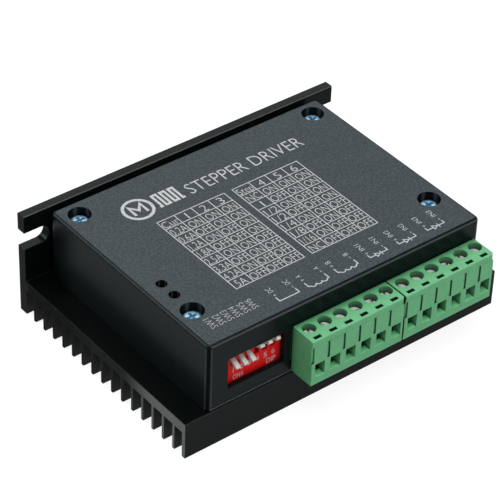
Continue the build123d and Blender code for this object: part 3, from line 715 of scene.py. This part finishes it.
def print_title(finish):
    """A plain motor symbol, a row of step pulses and the words for what this is."""
    art, edge, front = cover_print("print_title")
    y = front + TITLE_MIDDLE
    ring_x = edge + RING_CENTRE
    art.outlines([arc((ring_x, y), radius, 0, 345, 23) for radius in (RING_OUTER, RING_INNER)])
    left, right = ring_x - LETTER_HALF_WIDTH, ring_x + LETTER_HALF_WIDTH
    foot_highlight, head = y - LETTER_HALF_HEIGHT, y + LETTER_HALF_HEIGHT
    art.line([(left, foot_highlight), (left, head), (ring_x, y - 0.5), (right, head), (right, foot_highlight)], LETTER_WIDTH)
    foot_highlight, head = y - PULSE_HALF_HEIGHT, y + PULSE_HALF_HEIGHT
    wave = [(ring_x + PULSE_START, foot_highlight)]
    for pulse in range(PULSE_COUNT):
        x = ring_x + PULSE_START + PULSE_PITCH * pulse
        rise, fall = x + PULSE_RISE, x + PULSE_FALL
        wave += [(rise, foot_highlight), (rise, head), (fall, head), (fall, foot_highlight)]
    wave.append((ring_x + PULSE_END, foot_highlight))
    art.line(wave, PULSE_WIDTH)
    art.text("STEPPER DRIVER", (edge + TITLE_CENTRE, y - TITLE_DROP), TITLE_CAP, TITLE_WIDTH)
    art.finish("module", finish)


def supply_symbol(art, x, base, reach):
    """An open bracket between the two supply terminals."""
    top = base + SYMBOL_RISE
    art.line([(x - reach, top), (x - reach, base), (x + reach, base), (x + reach, top)], SYMBOL_WIDTH)


def coil_symbol(art, x, base, reach):
    """A winding of three humps."""
    shoulder, top = base + 0.15, base + SYMBOL_RISE + 0.2
    radius = (reach - 0.55) / 3
    humps = []
    for hump in (-1, 0, 1):
        humps += arc((x + hump * 2 * radius, base + 0.35), radius, 200, 340, 8)
    left, right = x - reach, x + reach
    art.line([(left, top), (left, shoulder)] + humps + [(right, shoulder), (right, top)], SYMBOL_WIDTH)


def input_symbol(art, x, base, reach):
    """A diode, as an isolated input is drawn."""
    top = base + 1.2
    art.line([(x - reach, top), (x - reach, base), (x - 1.0, base)], SYMBOL_WIDTH)
    art.line([(x + 0.95, base), (x + reach, base), (x + reach, top)], SYMBOL_WIDTH)
    art.outlines([[(x - 1.05, base - 1.0), (x + 0.8, base), (x - 1.05, base + 1.0)],
                  [(x - 0.75, base - 0.52), (x + 0.18, base), (x - 0.75, base + 0.52)]])
    art.outlines([rectangle(x + 0.7, x + 0.98, base - 0.85, base + 0.85)])


def terminal_symbols(finish):
    """Supply, coil and input symbols along the cover's front edge, each with two small labels."""
    art, edge, front = cover_print("print_terminals")
    base = front + SYMBOL_FRONT
    draw = {"supply": supply_symbol, "coil": coil_symbol, "input": input_symbol}
    for kind, from_left, reach, label in SYMBOLS:
        x = edge + from_left
        draw[kind](art, x, base, reach)
        name = "IN" + label if kind == "input" else label
        for side, sign in ((-1, "+"), (1, "-")):
            at = x + side * (reach - 0.4)
            art.text(name, (at, base + LABEL_RISE), LABEL_CAP, LABEL_LETTER_WIDTH * len(name), turn=90)
            art.text(sign, (at, base + 3.8 - 0.62 * len(name)), LABEL_CAP, 0.8, turn=90)
    art.finish("module", finish)


def switch_labels(finish):
    """SW1 to SW6 beside the switch block, turned to read along the cover's side."""
    art, edge, front = cover_print("print_switch_labels")
    for number in range(LEVER_COUNT):
        x = edge + LEVER_LABEL_LEFT + number * LEVER_LABEL_PITCH
        art.text(f"SW{number + 1}", (x, front + LEVER_LABEL_FRONT), LEVER_LABEL_CAP, LEVER_LABEL_WIDTH,
                 turn=90, thin=0.02)
    art.finish("module", finish)


def switch_face(finish):
    """Lever numbers and the ON mark on the red block's front."""
    low = box_mm("switch_body")[0]
    art = Print("print_switch_face", (0, low.y - INK_HEIGHT / 2 + INK_SINK, 0), (1, 0, 0), (0, 0, 1))
    for number in range(LEVER_COUNT):
        lever = sum(box_mm(f"switch_lever_{number + 1}"), Vector()) / 2
        digit = str(number + 1)
        wide = digit_width(digit, 1.0)
        art.text(digit, (lever.x + 0.3, low.z + FIGURE_RISE), FIGURE_CAP, wide, thin=0)
    art.text("ON", (low.x + WORD_ON_LEFT, low.z + WORD_RISE), FIGURE_CAP, 2.3, thin=0)
    art.text("DIP", (low.x + WORD_DIP_LEFT, low.z + WORD_RISE), FIGURE_CAP, 3.0, thin=0)
    arrow = low.x + ARROW_LEFT
    art.line([(arrow, low.z + 3.2), (arrow, low.z + 2.0)], 0.2)
    art.outlines([[(arrow - 0.4, low.z + 2.3), (arrow, low.z + 1.7), (arrow + 0.4, low.z + 2.3)]])
    art.finish("module", finish)


# ---------------------------------------------------------------- studio


def floor():
    """A bright white sweep that the module stands on. The camera sees it as the backdrop's white."""
    half = FLOOR_HALF_SIZE
    mesh = bpy.data.meshes.new("floor")
    corners = [(-half, -half, 0), (half, -half, 0), (half, half, 0), (-half, half, 0)]
    mesh.from_pydata(corners, [], [(0, 1, 2, 3)])
    s = Shader("floor_paper")
    grain = s.noise(0.05, 3.0)
    paper = s.node("BsdfDiffuse", {"Color": s.mix(grain, (0.22, 0.22, 0.22), (0.24, 0.24, 0.24))})
    white = s.node("Emission", {"Color": (1.0, 1.0, 1.0), "Strength": FLOOR_WHITE})
    seen = s.node("AddShader", {0: paper.outputs[0], 1: white.outputs[0]})
    dim = s.node("BsdfDiffuse", {"Color": (0.12, 0.12, 0.12)})
    front = cad_box[0].y / MM
    before = s.spread(s.coordinate("Y"), front + FLOOR_CHANGE, front - FLOOR_CHANGE)
    bounce = s.blend(before, *FLOOR_BOUNCE)
    bounce = s.node("Emission", {"Color": (1.0, 1.0, 1.0), "Strength": bounce})
    painted_lit_floor = s.node("AddShader", {0: dim.outputs[0], 1: bounce.outputs[0]})
    is_camera = s.node("LightPath").outputs["Is Camera Ray"]
    both = s.node("MixShader", {0: is_camera, 1: painted_lit_floor.outputs[0], 2: seen.outputs[0]})
    s.tree.links.new(both.outputs[0], s.output.inputs["Surface"])
    mesh.materials.append(s.material)
    sheet = bpy.data.objects.new("floor", mesh)
    bpy.context.scene.collection.objects.link(sheet)


def softbox(name, azimuth, elevation, size, power):
    """A rectangular area light that looks at the aim point from a direction given as the camera's is."""
    light = bpy.data.lights.new(name, "AREA")
    light.shape = "RECTANGLE"
    light.size, light.size_y = size[0] * MM, size[1] * MM
    light.energy = power
    lamp = bpy.data.objects.new(name, light)
    lamp.matrix_world = look_from(azimuth, elevation, LIGHT_DISTANCE, 0.0)
    bpy.context.scene.collection.objects.link(lamp)


def look_from(azimuth, elevation, distance, roll):
    """A matrix that looks at the aim point. Azimuth 0 looks along +Y."""
    az, el = math.radians(azimuth), math.radians(elevation)
    back = Vector((math.sin(az) * math.cos(el), -math.cos(az) * math.cos(el), math.sin(el)))
    right = Vector((math.cos(az), math.sin(az), 0))
    up = back.cross(right)
    turn = math.radians(roll)
    right, up = (right * math.cos(turn) + up * math.sin(turn),
                 up * math.cos(turn) - right * math.sin(turn))
    place = (Vector(CAMERA_AIM) + back * distance) * MM
    return Matrix.Translation(place) @ Matrix((right, up, back)).transposed().to_4x4()


def camera():
    data = bpy.data.cameras.new("camera")
    data.lens = CAMERA_LENS
    data.sensor_width = SENSOR_WIDTH
    data.clip_start = 0.01
    view = bpy.data.objects.new("camera", data)
    view.matrix_world = look_from(CAMERA_AZIMUTH, CAMERA_ELEVATION, CAMERA_DISTANCE, CAMERA_ROLL)
    bpy.context.scene.collection.objects.link(view)
    bpy.context.scene.camera = view


def room():
    """Soft even light from all round, and the Standard view transform."""
    world = bpy.data.worlds.new("room")
    world.use_nodes = True
    tree = world.node_tree
    background = tree.nodes["Background"]
    background.inputs["Color"].default_value = (1, 1, 1, 1)
    background.inputs["Strength"].default_value = ROOM_STRENGTH
    bpy.context.scene.world = world
    bpy.context.scene.view_settings.view_transform = "Standard"


paint_nodes()
ink_finish = ink()
print_tables(ink_finish)
print_title(ink_finish)
terminal_symbols(ink_finish)
switch_labels(ink_finish)
switch_face(ink_finish)
floor()
room()
for box in SOFTBOXES:
    softbox(*box)
camera()

bpy.context.view_layer.update()
